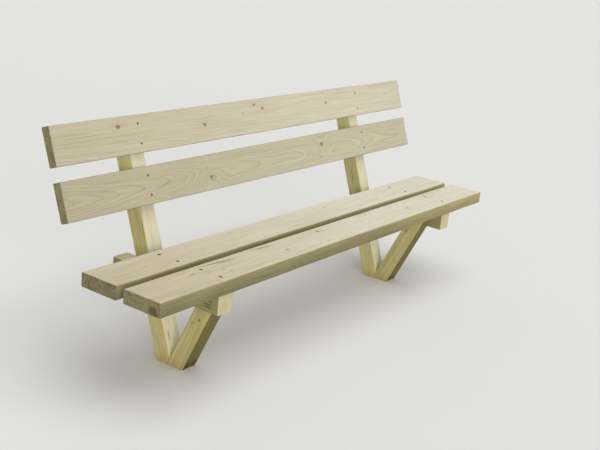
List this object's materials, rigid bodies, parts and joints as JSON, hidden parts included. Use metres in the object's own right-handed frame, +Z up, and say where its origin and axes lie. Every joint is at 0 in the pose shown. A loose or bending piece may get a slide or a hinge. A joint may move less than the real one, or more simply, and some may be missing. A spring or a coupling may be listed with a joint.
{
  "type": "garden bench",
  "caption": "Low wooden garden bench with a slatted seat and leaning back on V-shaped timber frames.",
  "frame": {"origin": "on the ground, below the middle of the bench's bounding box", "axes": "+X along the bench to its right end as seen from the front, +Y from the front towards the back, +Z up"},
  "size_m": [2, 0.577, 0.7952],
  "materials": {
    "seat_wood": "planed, unpainted",
    "back_wood": "planed, unpainted",
    "frame_wood": "planed, unpainted",
    "screw_steel": "darkened zinc",
    "bolt_steel": "galvanised"
  },
  "bodies": {
    "root": {"seat_board_front": "seat_wood", "seat_board_rear": "seat_wood", "back_board_lower": "back_wood", "back_board_upper": "back_wood", "back_post_left": "frame_wood", "back_post_right": "frame_wood", "front_leg_left": "frame_wood", "front_leg_right": "frame_wood", "seat_bearer_left": "frame_wood", "seat_bearer_right": "frame_wood", "seat_board_screws": "screw_steel", "back_board_screws": "screw_steel", "foot_screws": "screw_steel", "bearer_bolts": "bolt_steel", "bearer_bolt_washers": "bolt_steel", "bearer_bolt_nuts": "bolt_steel"}
  },
  "joints": []
}
